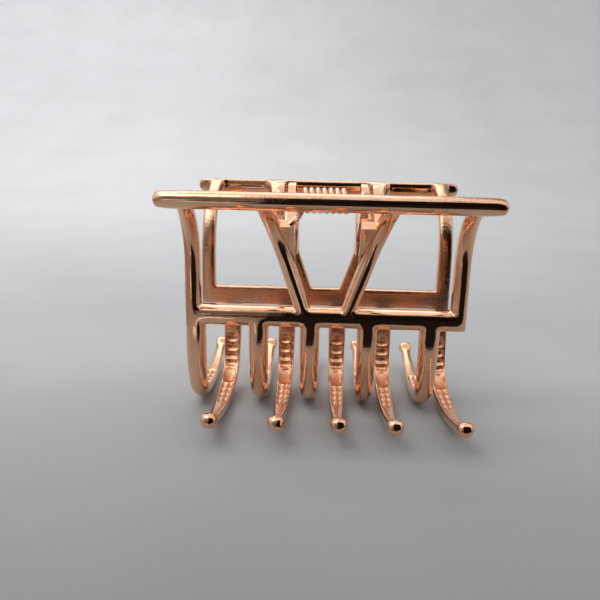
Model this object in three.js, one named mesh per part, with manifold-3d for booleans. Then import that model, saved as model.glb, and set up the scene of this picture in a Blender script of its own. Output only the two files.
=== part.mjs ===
// Metal claw hair clip: two identical die-cast jaws, a riveted hinge pin and a torsion spring.
// Millimetres. +X runs along the hinge pin, +Z is up, and the closed clip stands on its teeth,
// so the origin lies on the table under the middle of the hinge.

import * as THREE from "three";
import { mergeVertices } from "three/addons/utils/BufferGeometryUtils.js";
import Module from "manifold-3d";

const wasm = await Module();
wasm.setup();

// ---- Jaw frame: heights are measured from the hinge axis ---------------------------------
const frameWidth = 40;            // across the two outer legs
const jawHalfDepth = 8.03;        // hinge axis to the outer face of the legs and the mid bar
const castingThickness = 2.33;    // legs, struts and mid bar, from outer face to inner face
const legWidth = 2.26;            // each outer leg, seen from the front
const midBarTop = -14.44;
const midBarHeight = 3.01;

// ---- Flare: the legs and struts curve outwards from vertical to the handle bar ------------
const flareStart = -8.5;
const flareRadius = 9;
const flareTurn = THREE.MathUtils.degToRad(77);
const flareEndThickness = 1.6;

// ---- Handle bar ---------------------------------------------------------------------------
const handleOverhang = 1.82;      // past the outer face of each leg
const handleReach = 16.75;        // hinge axis to the bar's outer edge
const handleHeight = 2.4;
const handleDepth = 2.07;
const handleMiddle = 0.92;        // height of the bar's middle over the hinge axis
const handleCornerRadius = 1.6;
const handleEdge = 0.4;           // rounding of the bar's long edges

// ---- The two struts that form a V, and the gussets beside them ----------------------------
const strutWidth = 2.3;
const strutFoot = 3.4;            // middle of a strut from the clip's middle, at the mid bar
const strutLean = 0.35;           // sideways run for each millimetre of rise
const gussetInnerEdge = 3.9;
const gussetTop = -2.4;

// ---- Hinge --------------------------------------------------------------------------------
const earRadius = 2.6;
const earThickness = 1.15;
const innerEarFace = 4.7;         // from the clip's middle to the inner ear
const earGap = 0.5;               // between the inner and the outer ear of one side
const pinRadius = 0.8;
const pinRunningClearance = 0.08;
const pinHeadLip = 0.47;          // how far a pin head reaches past the bore, all round
const pinHeadHeight = 0.55;
const pinEndPlay = 0.3;           // between a pin head and the ear beside it

// ---- Teeth --------------------------------------------------------------------------------
const toothWidth = 2.8;
const toothTipWidth = 1.9;
const toothStagger = 3.65;        // how far the two jaws' combs stand apart sideways
const toothCount = 5;
const toothNudges = [0, 0.08, -0.04, -0.06, 0];   // casting's own unevenness, in pitches
const toothRootThickness = castingThickness;
const toothBendThickness = 2.0;
const toothNeckThickness = 1.5;
const toothBallRadius = 0.95;
const toothStraightEnd = -19.1;
const toothEaseRadius = 22;
const toothEaseTurn = THREE.MathUtils.degToRad(18);
const toothHookRadius = 5.6;
const toothHookTurn = THREE.MathUtils.degToRad(59);
const toothSweepRadius = 30.5;
const toothSweepTurn = THREE.MathUtils.degToRad(37);

// ---- Torsion spring -----------------------------------------------------------------------
const wireRadius = 0.45;
const coilPinGap = 0.25;          // between the pin and the inside of the coils
const coilTurns = 7;
const coilGap = 0.04;             // between one coil and the next
const springEndGap = 0.35;        // between the first coil and the ear beside it
const springRest = 0.25;          // between a spring leg and the gusset it bears on

// ---- Values worked out from the sizes above -----------------------------------------------
const midBarBottom = midBarTop - midBarHeight;
const flareCentre = new THREE.Vector2(-jawHalfDepth - flareRadius, flareStart);
const innerFace = -jawHalfDepth + castingThickness;
const outerEarFace = innerEarFace + earThickness + earGap;
const boreRadius = pinRadius + pinRunningClearance;
const pinHeadRadius = boreRadius + pinHeadLip;
const coilRadius = pinRadius + coilPinGap + wireRadius;   // to the middle of the wire
const coilPitch = 2 * wireRadius + coilGap;
const overlap = 0.6;              // how deep joined solids sink into each other
const above = 6;                  // cutters reach this high over the hinge axis
const curveSteps = 12;

// The strut's middle line and its two edges, as seen from the front.
function strutMiddle(z) {
  return strutFoot + strutLean * (z - midBarTop);
}

function strutInner(z) {
  return strutMiddle(z) - strutWidth / 2;
}

function strutOuter(z) {
  return strutMiddle(z) + strutWidth / 2;
}

// ---- Solids -------------------------------------------------------------------------------
function toSolid(geometry) {
  geometry.deleteAttribute("normal");
  geometry.deleteAttribute("uv");
  const merged = mergeVertices(geometry, 1e-4);
  return new wasm.Manifold(new wasm.Mesh({
    numProp: 3,
    vertProperties: new Float32Array(merged.attributes.position.array),
    triVerts: new Uint32Array(merged.index.array),
  }));
}

function toGeometry(solid) {
  const mesh = solid.getMesh();
  const geometry = new THREE.BufferGeometry();
  geometry.setAttribute("position", new THREE.BufferAttribute(mesh.vertProperties, 3));
  geometry.setIndex(new THREE.BufferAttribute(mesh.triVerts, 1));
  geometry.computeVertexNormals();
  return geometry;
}

function extrude(points, depth, options = {}) {
  const shape = new THREE.Shape(points.map(([u, v]) => new THREE.Vector2(u, v)));
  return new THREE.ExtrudeGeometry(shape, { depth, bevelEnabled: false, ...options });
}

// An outline of [y, z] points, extruded along X from x0 to x1.
function extrudeAlongX(points, x0, x1) {
  const turn = new THREE.Matrix4().set(0, 0, 1, x0, 1, 0, 0, 0, 0, 1, 0, 0, 0, 0, 0, 1);
  return extrude(points, x1 - x0).applyMatrix4(turn);
}

// An outline of [x, z] points, extruded along Y from y0 to y1.
function extrudeAlongY(points, y0, y1) {
  const turn = new THREE.Matrix4().set(1, 0, 0, 0, 0, 0, -1, y1, 0, 1, 0, 0, 0, 0, 0, 1);
  return extrude(points, y1 - y0).applyMatrix4(turn);
}

function mirroredX(points) {
  return points.map(([x, z]) => [-x, z]);
}

// Convex outline round a set of [u, v] points.
function hullOutline(points) {
  const sorted = [...points].sort((p, q) => p[0] - q[0] || p[1] - q[1]);
  const cross = (o, p, q) => (p[0] - o[0]) * (q[1] - o[1]) - (p[1] - o[1]) * (q[0] - o[0]);
  const half = (list) => {
    const chain = [];
    for (const point of list) {
      while (chain.length > 1 && cross(chain.at(-2), chain.at(-1), point) <= 1e-9) chain.pop();
      chain.push(point);
    }
    return chain.slice(0, -1);
  };
  return [...half(sorted), ...half(sorted.reverse())];
}

// ---- Jaw: the curved plate from which the legs, struts and mid bar are cut ----------------
// The flare thins steadily. Its inner face at a turn, as a [y, z] point.
function flareInner(angle) {
  const share = angle / flareTurn;
  const far = flareRadius + THREE.MathUtils.lerp(castingThickness, flareEndThickness, share);
  return [flareCentre.x + far * Math.cos(angle), flareCentre.y + far * Math.sin(angle)];
}

function flareOuter(angle) {
  return [flareCentre.x + flareRadius * Math.cos(angle),
    flareCentre.y + flareRadius * Math.sin(angle)];
}

// Side outline: straight from the mid bar's foot to the flare, then round to the handle bar.
function plateOutline() {
  const turns = Array.from({ length: curveSteps + 1 }, (_, i) => flareTurn * i / curveSteps);
  const outer = [[-jawHalfDepth, midBarBottom], ...turns.map(flareOuter)];
  const inner = [[innerFace, midBarBottom], ...turns.map(flareInner)];
  return [...outer, ...inner.reverse()];
}

// A point just inside the metal, behind the inner face at a height over the flare's start.
function insidePlate(z) {
  const rise = Math.max(0, z - flareStart) / (flareRadius + castingThickness);
  return [flareInner(Math.asin(rise))[0] - overlap, z];
}

// The window between an outer leg and a strut.
function sideWindow() {
  const legInner = frameWidth / 2 - legWidth;
  return [
    [strutOuter(midBarTop), midBarTop],
    [legInner, midBarTop],
    [legInner, above],
    [strutOuter(above), above],
  ];
}

// The window between the struts, narrowed by the gussets up to their top edge.
function middleWindow() {
  const gussetFoot = midBarTop + (gussetInnerEdge - strutInner(midBarTop)) / strutLean;
  const right = [
    [strutInner(midBarTop), midBarTop],
    [gussetInnerEdge, gussetFoot],
    [gussetInnerEdge, gussetTop],
    [strutInner(gussetTop), gussetTop],
    [strutInner(above), above],
  ];
  return [...right, ...mirroredX(right).reverse()];
}

function handleBar() {
  const half = frameWidth / 2 + handleOverhang;
  const outerEdge = -handleReach;
  const innerEdge = outerEdge + handleDepth;
  const corner = Math.min(handleCornerRadius, handleDepth - handleEdge - 0.05);
  const shape = new THREE.Shape();
  shape.moveTo(-half, innerEdge);
  shape.lineTo(-half, outerEdge + corner);
  shape.quadraticCurveTo(-half, outerEdge, -half + corner, outerEdge);
  shape.lineTo(half - corner, outerEdge);
  shape.quadraticCurveTo(half, outerEdge, half, outerEdge + corner);
  shape.lineTo(half, innerEdge);
  const bar = new THREE.ExtrudeGeometry(shape, {
    depth: handleHeight - 2 * handleEdge,
    bevelEnabled: true,
    bevelThickness: handleEdge,
    bevelSize: handleEdge,
    bevelOffset: -handleEdge,
    bevelSegments: 2,
    curveSegments: 6,
  });
  return bar.translate(0, 0, handleMiddle - handleHeight / 2 + handleEdge);
}

// An ear on the hinge axis with the arm that ties it to the plate, low down at armFoot.
function earAndArm(armFoot) {
  const outline = [];
  for (let i = 0; i < 2 * curveSteps; i++) {
    const angle = Math.PI * i / curveSteps;
    outline.push([earRadius * Math.cos(angle), earRadius * Math.sin(angle)]);
  }
  outline.push(insidePlate(armFoot), insidePlate(gussetTop));
  return hullOutline(outline);
}

// ---- Teeth --------------------------------------------------------------------------------
// Middle line of a tooth in the [y, z] plane, from inside the mid bar to the ball at its tip.
// A heading of -90 degrees points straight down.
function toothLine() {
  const line = [];
  let point = new THREE.Vector2(innerFace - toothRootThickness / 2, midBarBottom + overlap);
  let heading = -Math.PI / 2;
  line.push({ point: point.clone(), heading });
  point = new THREE.Vector2(point.x, toothStraightEnd);
  const arcs = [
    [toothEaseRadius, toothEaseTurn],
    [toothHookRadius, toothHookTurn],
    [toothSweepRadius, toothSweepTurn],
  ];
  for (const [radius, turn] of arcs) {
    const centre = new THREE.Vector2(-Math.sin(heading), Math.cos(heading))
      .multiplyScalar(radius).add(point);
    const steps = Math.max(5, Math.round(turn * curveSteps * 0.75));
    for (let i = 0; i <= steps; i++) {
      const now = heading + turn * i / steps;
      const reach = new THREE.Vector2(Math.sin(now), -Math.cos(now)).multiplyScalar(radius);
      if (i > 0 || radius === toothEaseRadius) {
        line.push({ point: reach.add(centre), heading: now });
      }
    }
    heading += turn;
    point = line.at(-1).point.clone();
  }
  return line;
}

const toothMiddle = toothLine();
const toothTip = toothMiddle.at(-1).point;

// Side outline of a tooth: its middle line, made as thick as the metal is at each place.
function toothOutline() {
  const outer = [];
  const inner = [];
  toothMiddle.forEach(({ point, heading }, i) => {
    const share = i / (toothMiddle.length - 1);
    const thickness = share < 0.5
      ? THREE.MathUtils.lerp(toothRootThickness, toothBendThickness, share * 2)
      : THREE.MathUtils.lerp(toothBendThickness, toothNeckThickness, share * 2 - 1);
    const side = new THREE.Vector2(Math.sin(heading), -Math.cos(heading))
      .multiplyScalar(thickness / 2);
    outer.push([point.x + side.x, point.y + side.y]);
    inner.push([point.x - side.x, point.y - side.y]);
  });
  return [...outer, ...inner.reverse()];
}

const toothSide = toothOutline();
const hingeHeight = -Math.min(...toothSide.map(([, z]) => z));

// A tooth narrows steadily from the plate to its tip.
function tooth(middleX) {
  const body = extrudeAlongX(toothSide, -1, 1);
  const place = body.attributes.position;
  const start = toothMiddle[0].point.x;
  for (let i = 0; i < place.count; i++) {
    const share = THREE.MathUtils.clamp((place.getY(i) - start) / (toothTip.x - start), 0, 1);
    const halfWidth = THREE.MathUtils.lerp(toothWidth, toothTipWidth - 0.4, share) / 2;
    place.setX(i, middleX + place.getX(i) * halfWidth);
  }
  const ball = new THREE.SphereGeometry(toothBallRadius, 12, 8);
  ball.translate(middleX, toothTip.x, toothTip.y);
  return toSolid(body).add(toSolid(ball));
}

// The first tooth is flush with one leg. The last stops a stagger short of the other leg, so
// the same casting turned half round meshes its teeth between these.
function toothPlaces() {
  const first = -frameWidth / 2 + toothWidth / 2 + 0.05;
  const last = frameWidth / 2 - toothWidth / 2 - toothStagger;
  const pitch = (last - first) / (toothCount - 1);
  return toothNudges.map((nudge, i) => first + (i + nudge) * pitch);
}

// ---- Jaw casting --------------------------------------------------------------------------
function jawCasting() {
  const half = frameWidth / 2;
  const front = -handleReach - 1;
  let casting = toSolid(extrudeAlongX(plateOutline(), -half, half));
  for (const window of [sideWindow(), mirroredX(sideWindow()).reverse(), middleWindow()]) {
    casting = casting.subtract(toSolid(extrudeAlongY(window, front, 0)));
  }
  casting = casting.add(toSolid(handleBar()));
  for (const x of toothPlaces()) casting = casting.add(tooth(x));

  // Each arm reaches down as far as there is a strut behind its whole thickness.
  const outerEarEnd = outerEarFace + earThickness;
  const innerArmFoot = midBarTop + (innerEarFace - strutInner(midBarTop)) / strutLean;
  const outerArmFoot = midBarTop + (outerEarEnd - strutOuter(midBarTop)) / strutLean;
  const innerArm = extrudeAlongX(earAndArm(innerArmFoot), -innerEarFace - earThickness, -innerEarFace);
  const outerArm = extrudeAlongX(earAndArm(outerArmFoot), outerEarFace, outerEarEnd);
  casting = casting.add(toSolid(innerArm)).add(toSolid(outerArm));

  const bore = new THREE.CylinderGeometry(boreRadius, boreRadius, frameWidth, 2 * curveSteps);
  bore.rotateZ(Math.PI / 2);
  return toGeometry(casting.subtract(toSolid(bore)));
}

// ---- Hinge pin: a shaft with a domed head peened on each end ------------------------------
function hingePin() {
  const shaftEnd = outerEarFace + earThickness + pinEndPlay;
  const end = shaftEnd + pinHeadHeight;
  const halfOutline = [
    [pinRadius, shaftEnd],
    [pinHeadRadius, shaftEnd],
    [pinHeadRadius, shaftEnd + pinHeadHeight * 0.4],
    [pinHeadRadius * 0.7, shaftEnd + pinHeadHeight * 0.85],
    [0, end],
  ];
  const outline = [
    ...halfOutline.map(([r, h]) => [r, -h]).reverse(),
    ...halfOutline,
  ];
  const pin = new THREE.LatheGeometry(outline.map(([r, h]) => new THREE.Vector2(r, h)), 2 * curveSteps);
  return toGeometry(toSolid(pin.rotateZ(-Math.PI / 2)));
}

// ---- Torsion spring -----------------------------------------------------------------------
// The wire lies on the front jaw's gusset, runs back under the pin, winds round it and leaves
// backwards onto the rear jaw's gusset.
function springWire() {
  const start = -innerEarFace + springEndGap + wireRadius;
  const end = start + coilTurns * coilPitch;
  const restHeight = gussetTop + wireRadius + springRest;
  const landing = jawHalfDepth + 0.4;
  const hook = landing + 2.4;
  const legX = gussetInnerEdge + 0.3;
  const points = [
    [-legX - 0.9, -hook, restHeight - 0.7],
    [-legX - 0.2, -hook + 0.4, restHeight - 0.1],
    [-legX + 0.1, -landing, restHeight],
    [start - 0.05, -landing / 2, -coilRadius - 0.1],
    [start, -1.2, -coilRadius],
  ];
  const stepsPerTurn = 14;
  for (let i = 0; i <= coilTurns * stepsPerTurn; i++) {
    const angle = 2 * Math.PI * i / stepsPerTurn;
    points.push([start + coilPitch * i / stepsPerTurn,
      coilRadius * Math.sin(angle), -coilRadius * Math.cos(angle)]);
  }
  points.push(
    [end, 1.2, -coilRadius],
    [(end + legX) / 2 - 0.1, landing / 2, -coilRadius - 0.1],
    [legX - 0.1, landing, restHeight],
    [legX + 0.2, hook - 0.4, restHeight - 0.1],
    [legX + 0.9, hook, restHeight - 0.7],
  );
  return new THREE.CatmullRomCurve3(points.map((p) => new THREE.Vector3(...p)));
}

function torsionSpring() {
  const section = new THREE.Shape();
  const sides = 6;
  for (let i = 0; i < sides; i++) {
    const angle = 2 * Math.PI * i / sides;
    const place = [wireRadius * Math.cos(angle), wireRadius * Math.sin(angle)];
    if (i === 0) section.moveTo(...place);
    else section.lineTo(...place);
  }
  section.closePath();
  const wire = new THREE.ExtrudeGeometry(section, {
    steps: 140,
    bevelEnabled: false,
    extrudePath: springWire(),
  });
  return toGeometry(toSolid(wire));
}

// ---- Assembly -----------------------------------------------------------------------------
const platedCasting = new THREE.MeshStandardMaterial({
  color: 0xd79a7c, metalness: 1, roughness: 0.15,
});
const platedPin = new THREE.MeshStandardMaterial({
  color: 0xc98d70, metalness: 1, roughness: 0.2,
});
const platedWire = new THREE.MeshStandardMaterial({
  color: 0xc98468, metalness: 1, roughness: 0.25,
});

function part(name, geometry, material) {
  const mesh = new THREE.Mesh(geometry, material);
  mesh.name = name;
  return mesh;
}

const casting = jawCasting();
const frontJaw = part("front_jaw", casting, platedCasting);
const rearJaw = part("rear_jaw", casting.clone(), platedCasting);
rearJaw.rotation.z = Math.PI;

const clip = new THREE.Group();
clip.position.z = hingeHeight;
clip.add(
  frontJaw,
  rearJaw,
  part("hinge_pin", hingePin(), platedPin),
  part("torsion_spring", torsionSpring(), platedWire),
);

export default clip;
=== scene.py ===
# %% [markdown]
# # A metal claw hair clip
# The clip is two die-cast jaws, plated rose gold, on one hinge pin with a spring round it.
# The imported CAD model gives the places. Here each piece is modelled again with the soft
# edges, the gripping pockets and the polish of a real casting.

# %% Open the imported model
import math

import bmesh
import bpy
from mathutils import Matrix, Vector


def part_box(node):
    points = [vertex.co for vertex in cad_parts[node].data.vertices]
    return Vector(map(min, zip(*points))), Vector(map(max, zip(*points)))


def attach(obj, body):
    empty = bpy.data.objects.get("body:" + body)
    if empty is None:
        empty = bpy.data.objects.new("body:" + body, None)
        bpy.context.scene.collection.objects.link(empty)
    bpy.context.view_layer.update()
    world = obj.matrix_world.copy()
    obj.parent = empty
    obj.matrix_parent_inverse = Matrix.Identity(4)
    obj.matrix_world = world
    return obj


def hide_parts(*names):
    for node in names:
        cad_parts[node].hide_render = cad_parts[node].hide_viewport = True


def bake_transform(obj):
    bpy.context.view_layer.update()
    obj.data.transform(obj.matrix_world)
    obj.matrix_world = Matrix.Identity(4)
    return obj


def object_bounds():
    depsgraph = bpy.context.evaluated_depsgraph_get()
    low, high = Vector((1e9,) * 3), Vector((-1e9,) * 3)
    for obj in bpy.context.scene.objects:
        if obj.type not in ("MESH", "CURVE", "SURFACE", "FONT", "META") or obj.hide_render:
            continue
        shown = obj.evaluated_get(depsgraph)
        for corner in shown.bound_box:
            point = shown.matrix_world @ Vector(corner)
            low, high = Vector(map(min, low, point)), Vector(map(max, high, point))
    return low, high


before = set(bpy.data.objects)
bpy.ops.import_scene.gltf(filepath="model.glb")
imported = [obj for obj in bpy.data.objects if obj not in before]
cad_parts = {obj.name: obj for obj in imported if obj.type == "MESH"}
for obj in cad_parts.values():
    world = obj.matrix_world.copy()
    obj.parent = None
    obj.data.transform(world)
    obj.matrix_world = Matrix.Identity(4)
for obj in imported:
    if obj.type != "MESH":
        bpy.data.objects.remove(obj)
cad_low, cad_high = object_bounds()
print("CAD box, mm:", [round(1000 * side, 2) for side in cad_high - cad_low])

# %% [markdown]
# The hinge pin runs along X, so its middle gives the height of the hinge over the table.
# The pieces are modelled in millimetres about the hinge, where the numbers are easy to read
# and the mesh tools work well, and each finished mesh is put into metres at its place.

# %% Find the hinge
pin_low, pin_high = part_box("hinge_pin")
hinge_height = (pin_low.z + pin_high.z) / 2
MILLIMETRE = 0.001
print("hinge height, mm:", round(hinge_height / MILLIMETRE, 3))

# %% [markdown]
# The camera comes first, so that every later look at the model goes through it. It stands in
# front of the clip, a little above the hinge, and looks down at the middle of the jaws. It
# leans very slightly, as a camera held in the hand does, so its three axes are worked out
# here instead of being left to a Track To constraint, which would hold it level.

# %% Camera
camera_place = Vector((-0.00074, -0.09652, 0.03911))
camera_target = Vector((-0.00384, 0.0, 0.01613))
camera_lean = 0.022

bpy.ops.object.camera_add(location=camera_place)
camera = bpy.context.object
camera.name = "view_from_front"
camera.data.sensor_width = 36
camera.data.lens = 39
camera.data.clip_start = 0.001
forward = (camera_target - camera_place).normalized()
level = forward.cross(Vector((0, 0, 1))).normalized()
upright = level.cross(forward)
right = math.cos(camera_lean) * level + math.sin(camera_lean) * upright
above = right.cross(forward)
camera.rotation_euler = Matrix((right, above, -forward)).transposed().to_euler()
bpy.context.scene.camera = camera
print("camera distance, mm:", round((camera_target - camera_place).length / MILLIMETRE, 1))

# %% [markdown]
# Operators act on whatever is selected. These helpers clear the selection, and then pick
# vertices or faces by their place, as a hand with a mouse would pick them by eye.

# %% Helpers for picking by place
def clear_selection():
    if bpy.context.object and bpy.context.object.mode != "OBJECT":
        bpy.ops.object.mode_set(mode="OBJECT")
    bpy.ops.object.select_all(action="DESELECT")


def only(piece):
    clear_selection()
    piece.select_set(True)
    bpy.context.view_layer.objects.active = piece


def pick_points(test):
    """In edit mode, selects the vertices whose place passes the test, and counts them."""
    bpy.ops.mesh.select_mode(type="VERT")
    bpy.ops.mesh.select_all(action="DESELECT")
    mesh = bmesh.from_edit_mesh(bpy.context.object.data)
    for vertex in mesh.verts:
        vertex.select = bool(test(vertex.co))
    mesh.select_flush(True)
    bmesh.update_edit_mesh(bpy.context.object.data)
    return sum(vertex.select for vertex in mesh.verts)


def pick_faces(test):
    """In edit mode, selects the faces whose middle and normal pass the test."""
    bpy.ops.mesh.select_mode(type="FACE")
    bpy.ops.mesh.select_all(action="DESELECT")
    mesh = bmesh.from_edit_mesh(bpy.context.object.data)
    for face in mesh.faces:
        face.select = bool(test(face.calc_center_median(), face.normal))
    mesh.select_flush(True)
    bmesh.update_edit_mesh(bpy.context.object.data)
    return sum(face.select for face in mesh.faces)


REACH = 0.02                    # places this close count as the same


def near(value, wanted, reach=REACH):
    return abs(value - wanted) < reach


def within(value, low, high):
    return low - REACH < value < high + REACH


# %% [markdown]
# The same few moves come back all the time: an edge is extruded to a new place, a row is
# stretched about its middle, and a modifier is added and applied at once. Each gets a name.

# %% Helpers for extruding and finishing
SHARP = math.radians(40)        # a fold steeper than this is an edge


def push_out(move):
    bpy.ops.mesh.extrude_region_move(TRANSFORM_OT_translate={"value": move})


def stretch(scale, centre):
    bpy.ops.transform.resize(value=scale, center_override=centre)


def edit_mode():
    bpy.ops.object.mode_set(mode="EDIT")


def object_mode():
    bpy.ops.object.mode_set(mode="OBJECT")


def select_all():
    bpy.ops.mesh.select_all(action="SELECT")


def close_up(merge=None):
    """Ends work in edit mode: merges doubles, if asked to, and turns every face outwards."""
    select_all()
    if merge:
        bpy.ops.mesh.remove_doubles(threshold=merge)
    bpy.ops.mesh.normals_make_consistent(inside=False)
    object_mode()


def add_modifier(piece, kind, **settings):
    modifier = piece.modifiers.new(kind.lower(), kind)
    for setting, value in settings.items():
        setattr(modifier, setting, value)
    only(piece)
    bpy.ops.object.modifier_apply(modifier=modifier.name)


def soften(piece, chamfer):
    """Chamfers the sharp edges, then rounds the whole piece by one subdivision."""
    add_modifier(piece, "BEVEL", width=chamfer, segments=1, limit_method="ANGLE",
                 angle_limit=SHARP)
    add_modifier(piece, "SUBSURF", levels=1, render_levels=1)


def to_frame(piece):
    """From millimetres about the hinge to metres in the frame, with the object at the origin."""
    piece.data.transform(Matrix.Translation((0, 0, hinge_height)) @ Matrix.Scale(MILLIMETRE, 4))
    piece.data.update()


# %% [markdown]
# A jaw is one casting: a flat frame of two legs, two struts and a mid bar, which curves
# outwards at the top to the handle bar and runs down into five hooked teeth. It could be put
# together from bars with Booleans, but the roundings would then stop at every joint. Seen
# from the side all of it follows one line, so a thin sheet is drawn along that line first, at
# the middle of the metal, and then it is given the thickness that the metal has at each place.

# %% Side line of the jaw
CASTING_THICKNESS = 2.33
BAR_TOP = -14.44
BAR_BOTTOM = -17.45
PLATE_Y = -6.865                # middle of the metal in the upright part of the frame
LEG_MIDDLE = -11.5
FLARE_START = -8.5
FLARE_MIDDLE_Y = -17.03
FLARE_RADIUS = 9
FLARE_TURNS = (14, 28, 42, 55, 67)
FLARE_FULL_TURN = 77
FLARE_END_THICKNESS = 1.6
HANDLE_Y = (-14.6, -16.88)
HANDLE_Z = (0.9, 1.08)
HANDLE_THICKNESS = (2.5, 2.0)
CORNER = 0.6                    # a row this close to a corner keeps its rounding small


def flare_point(turn):
    """Place and thickness of the metal where the flare has turned by so many degrees."""
    change = FLARE_END_THICKNESS - CASTING_THICKNESS
    thickness = CASTING_THICKNESS + change * turn / FLARE_FULL_TURN
    reach = FLARE_RADIUS + thickness / 2
    angle = math.radians(turn)
    return (FLARE_MIDDLE_Y + reach * math.cos(angle), FLARE_START + reach * math.sin(angle),
            thickness)


leg_line = [(PLATE_Y, z, CASTING_THICKNESS)
            for z in (BAR_TOP + CORNER, LEG_MIDDLE, FLARE_START)]
leg_line += [flare_point(turn) for turn in FLARE_TURNS]
print("leg line:", [(round(y, 2), round(z, 2)) for y, z, thickness in leg_line])

# %% [markdown]
# Below the mid bar a tooth runs straight down for a moment and then through three bends: a
# slow one, the tight one of the hook, and a long slow one to the tip. A hand-drawn curve
# would do, but with three arcs every place on the tooth follows from its run, which is how
# far it lies along the tooth.

# %% Side line of a tooth
TOOTH_ARCS = ((22, 18), (5.6, 59), (30.5, 37))      # radius and turn of each arc
TOOTH_STRAIGHT_END = -19.1


def tooth_point(run):
    """Place and heading on the tooth's middle line, so many millimetres below the mid bar."""
    heading = math.radians(-90)
    y, z = PLATE_Y, BAR_BOTTOM
    straight = BAR_BOTTOM - TOOTH_STRAIGHT_END
    if run <= straight:
        return y, z - run, heading
    run -= straight
    z = TOOTH_STRAIGHT_END
    for radius, turn in TOOTH_ARCS:
        bend = min(math.radians(turn), run / radius)
        centre_y = y - radius * math.sin(heading)
        centre_z = z + radius * math.cos(heading)
        heading += bend
        y = centre_y + radius * math.sin(heading)
        z = centre_z - radius * math.cos(heading)
        run -= bend * radius
        if run <= 1e-9:
            break
    y += run * math.cos(heading)
    z += run * math.sin(heading)
    return y, z, heading


TOOTH_LENGTH = (BAR_BOTTOM - TOOTH_STRAIGHT_END
                + sum(radius * math.radians(turn) for radius, turn in TOOTH_ARCS))
print("tooth length, mm:", round(TOOTH_LENGTH, 2), "tip at:", tooth_point(TOOTH_LENGTH)[:2])

# %% [markdown]
# A tooth is laid out in rows along its line. The two gripping zones have one row for each
# pocket, a scoop lies between them, and the last rows close in to a neck and open again to
# the ball at the tip, so that the tip is grown out of the same sheet.

# %% Rows of a tooth: run below the bar, width and thickness
ROOT = (CORNER, 1.8, 3.3)
GRIP_UPPER = (5.0, 6.6, 8.2, 9.8, 11.4)
SCOOP = (11.4, 13.6, 15.8)
GRIP_LOWER = (15.8, 17.6, 19.4, 21.2, 23.0)
FINGER = (25.0, 28.0, 31.0)
BALL_MIDDLE = TOOTH_LENGTH
NECK = BALL_MIDDLE - 1.0
TOOTH_WIDTH = 2.85
NARROWING = 1.3                 # lost in width by the tip
NARROWING_START = 0.12          # share of the tooth's length
THINNING = 0.75                 # lost in thickness by the tip

tooth_rows = []
for run in ROOT + GRIP_UPPER + SCOOP[1:] + GRIP_LOWER[1:] + FINGER:
    share = run / TOOTH_LENGTH
    narrowed = max(0.0, share - NARROWING_START) / (1 - NARROWING_START)
    tooth_rows.append((run, TOOTH_WIDTH - NARROWING * narrowed,
                       CASTING_THICKNESS - THINNING * share))
tooth_rows += [(NECK, 1.75, 1.5), (BALL_MIDDLE - 0.5, 2.3, 2.2),
               (BALL_MIDDLE + 0.35, 2.35, 2.25), (BALL_MIDDLE + 0.98, 1.35, 1.3)]
print("rows:", len(tooth_rows))

# %% [markdown]
# The mid bar is the start: one upright plane, cut into columns wherever a leg, a strut or a
# tooth begins. A loop cut would space them evenly, while bisect puts each cut at its place,
# and a cut that serves a strut above and a tooth below can run aslant.

# %% Mid bar sheet with its columns
HALF_WIDTH = 20
LEG_INNER = 17.74
STRUT_FOOT = (2.25, 4.55)
STRUT_UNDERSIDE = 2.3           # inner side of the right strut, carried on to the bar's bottom
TOOTH_MIDDLES = (-18.55, -9.505, -2.135, 6.07, 14.95)
ROOT_HALF = 1.42

teeth = [(x - ROOT_HALF, x + ROOT_HALF) for x in TOOTH_MIDDLES]
teeth[0] = (-HALF_WIDTH, teeth[0][1])
cuts = [                                            # X at the bar's top, X at its bottom
    (-LEG_INNER, teeth[0][1]),
    (teeth[1][0], teeth[1][0]), (teeth[1][1], teeth[1][1]),
    (-STRUT_FOOT[1], teeth[2][0]), (-STRUT_FOOT[0], teeth[2][1]),
    (STRUT_FOOT[0], STRUT_UNDERSIDE), (STRUT_FOOT[1], teeth[3][0]), (teeth[3][1], teeth[3][1]),
    (teeth[4][0], teeth[4][0]), (teeth[4][1], teeth[4][1]), (LEG_INNER, LEG_INNER),
]
corner_cuts = [                                     # beside the corners of the windows
    (CORNER - LEG_INNER, teeth[0][1] + CORNER),
    (teeth[1][0] - CORNER, teeth[1][0] - CORNER), (teeth[1][1] + CORNER, teeth[1][1] + CORNER),
    (-STRUT_FOOT[1] - CORNER, teeth[2][0] - CORNER),
    (CORNER - STRUT_FOOT[0], teeth[2][1] + CORNER),
    (STRUT_FOOT[0] - CORNER, STRUT_UNDERSIDE - CORNER),
    (STRUT_FOOT[1] - CORNER, teeth[3][0] - CORNER),
    (STRUT_FOOT[1] + CORNER, teeth[3][0] + CORNER),
    (teeth[3][1] + CORNER, teeth[3][1] + CORNER),
    (teeth[4][0] - CORNER, teeth[4][0] - CORNER), (LEG_INNER - CORNER, teeth[4][1] + CORNER),
]

clear_selection()
bpy.ops.mesh.primitive_plane_add(size=1, rotation=(math.pi / 2, 0, 0),
                                 location=(0, PLATE_Y, (BAR_TOP + BAR_BOTTOM) / 2))
jaw = bpy.context.object
jaw.name = "front_jaw_casting"
jaw.scale = (2 * HALF_WIDTH, BAR_TOP - BAR_BOTTOM, 1)
bpy.ops.object.transform_apply(location=True, rotation=True, scale=True)
edit_mode()
for top, bottom in cuts + corner_cuts:
    select_all()
    line = Vector((top - bottom, 0, BAR_TOP - BAR_BOTTOM)).normalized()
    bpy.ops.mesh.bisect(plane_co=(top, PLATE_Y, BAR_TOP),
                        plane_no=(line.z, 0, -line.x), threshold=0.0001)
object_mode()
print("mid bar faces:", len(jaw.data.polygons))

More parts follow.
